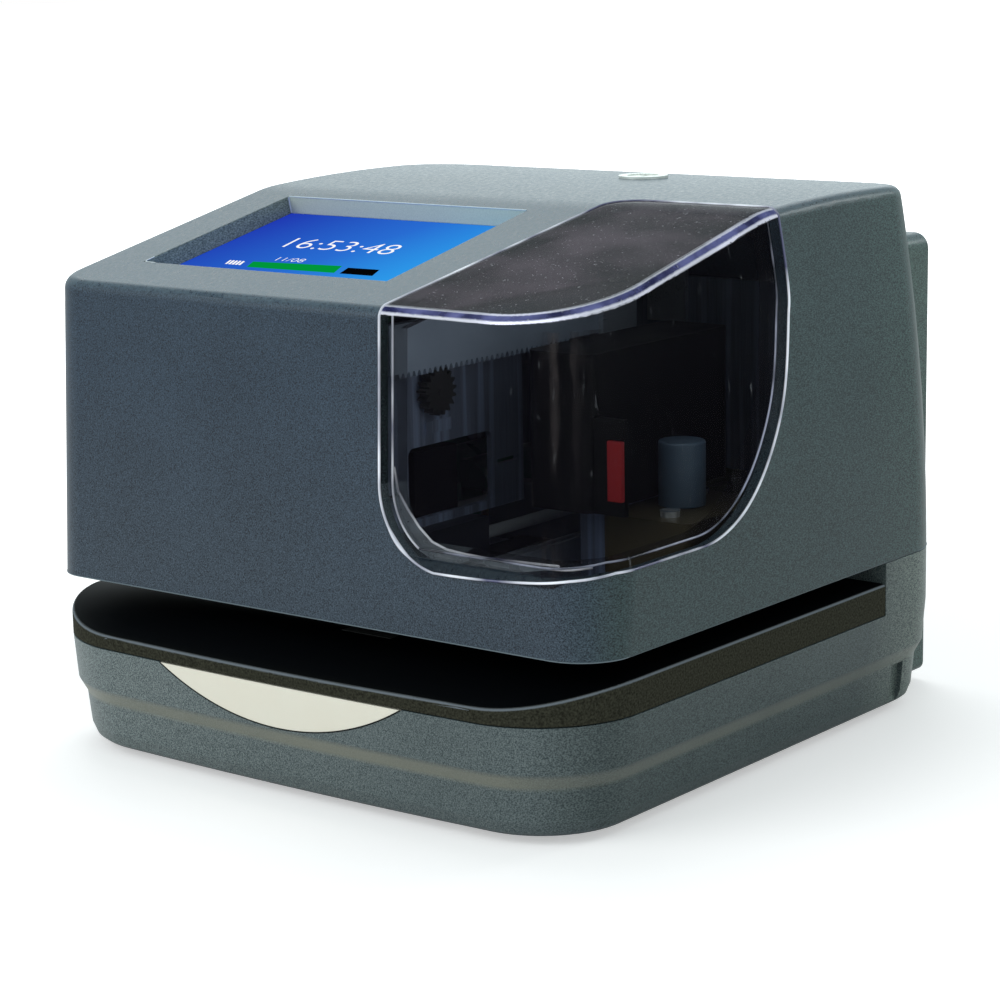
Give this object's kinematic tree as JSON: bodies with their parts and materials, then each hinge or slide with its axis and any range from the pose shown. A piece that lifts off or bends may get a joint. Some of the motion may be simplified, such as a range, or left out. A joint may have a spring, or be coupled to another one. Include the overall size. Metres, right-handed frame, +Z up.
{
  "type": "date and time stamp machine",
  "caption": "Desktop date and time stamp machine: slate case overhanging a black paper table, sloping screen, smoked corner window over the print carriage, lock and lift-off cover.",
  "frame": {"origin": "middle of the footprint on the desk", "axes": "+Z up, -Y is the front where paper goes in, +X is the side with the window"},
  "size_m": [0.165, 0.174, 0.1308],
  "materials": {
    "case_plastic": "fine-grained matte ABS, slate blue-grey",
    "table_plastic": "black, glossy top and satin edge",
    "cream_plastic": "smooth satin",
    "window_clear": "smoked clear plastic",
    "screen": "lit colour display",
    "steel": "plated sheet",
    "zinc_steel": "zinc-plated sheet",
    "bright_steel": "polished",
    "lock_metal": "satin nickel",
    "brass": "turned",
    "rubber": "matte",
    "circuit_board": "solder mask with components",
    "black_plastic": "moulded, satin",
    "ribbon_cloth": "inked nylon",
    "grey_plastic": "moulded acetal",
    "red_plastic": "moulded",
    "head_aluminium": "dark anodised die-casting",
    "battery_wrap": "shrink sleeve"
  },
  "bodies": {
    "base": {"base_shell": "case_plastic", "bottom_plate": "steel", "bottom_screws": "bright_steel", "rubber_feet": "rubber", "paper_table": "table_plastic", "table_screws": "bright_steel", "platen_pad": "rubber", "indicator_lens": "cream_plastic", "indicator_board": "circuit_board", "rear_lower_cover": "case_plastic", "power_jack": "black_plastic", "power_board": "circuit_board", "power_standoffs": "brass", "column_left": "steel", "column_right": "steel", "upper_chassis": "zinc_steel", "chassis_screws": "bright_steel", "throat_plate": "table_plastic", "lock_keeper": "steel", "shaft_supports": "black_plastic", "main_guide_shaft": "bright_steel", "side_guide_shaft": "bright_steel", "ribbon_rail": "zinc_steel", "ribbon_guides": "black_plastic", "ink_ribbon": "ribbon_cloth", "toothed_rack": "grey_plastic", "rack_bracket": "steel", "ribbon_drive_housing": "black_plastic", "drive_screws": "bright_steel", "cassette_holder": "zinc_steel", "ribbon_cassette": "black_plastic", "print_marker": "red_plastic", "lever_bracket": "steel", "paper_sensor": "circuit_board", "main_board": "circuit_board", "board_standoffs": "brass", "board_screws": "bright_steel", "backup_battery": "battery_wrap", "buzzer": "black_plastic"},
    "cover": {"upper_cover": "case_plastic", "window": "window_clear", "lcd_panel": "screen", "lcd_board": "circuit_board", "lcd_screws": "bright_steel", "lock_body": "lock_metal", "lock_nut": "lock_metal", "rear_upper_cover": "case_plastic"},
    "key_plug": {"lock_plug": "lock_metal", "lock_cam": "lock_metal"},
    "carriage": {"carriage_plate": "zinc_steel", "carriage_block": "black_plastic", "carriage_bushes": "brass", "print_head": "head_aluminium", "carriage_motor": "black_plastic"},
    "pinion": {"motor_pinion": "brass"},
    "ribbon_knob": {"ribbon_knob": "grey_plastic"},
    "paper_lever": {"paper_lever": "black_plastic"}
  },
  "joints": [
    {"name": "cover_lift", "type": "slide", "parent": "base", "child": "cover", "axis": [0, 0, 1], "range_m": [0, 0.1]},
    {"name": "key_turn", "type": "hinge", "parent": "cover", "child": "key_plug", "pos_m": [0.0044, 0.0545, 0.1308], "axis": [0, 0, -1], "range_deg": [0, 90]},
    {"name": "carriage_travel", "type": "slide", "parent": "base", "child": "carriage", "axis": [0, 1, 0], "range_m": [0, 0.034]},
    {"name": "pinion_spin", "type": "hinge", "parent": "carriage", "child": "pinion", "pos_m": [0.0206, -0.0505, 0.0911], "axis": [1, 0, 0], "range_deg": [0, 384]},
    {"name": "ribbon_knob_turn", "type": "hinge", "parent": "base", "child": "ribbon_knob", "pos_m": [0.0595, -0.0095, 0.07], "axis": [0, 0, 1], "continuous": true},
    {"name": "paper_lever_swing", "type": "hinge", "parent": "base", "child": "paper_lever", "pos_m": [0.04, 0.03, 0.0475], "axis": [1, 0, 0], "range_deg": [0, 35], "stiffness_Nm_per_rad": 0.0005}
  ],
  "couplings": [
    {"joint": "pinion_spin", "follows": "carriage_travel", "rad_per_m": 196.08}
  ]
}
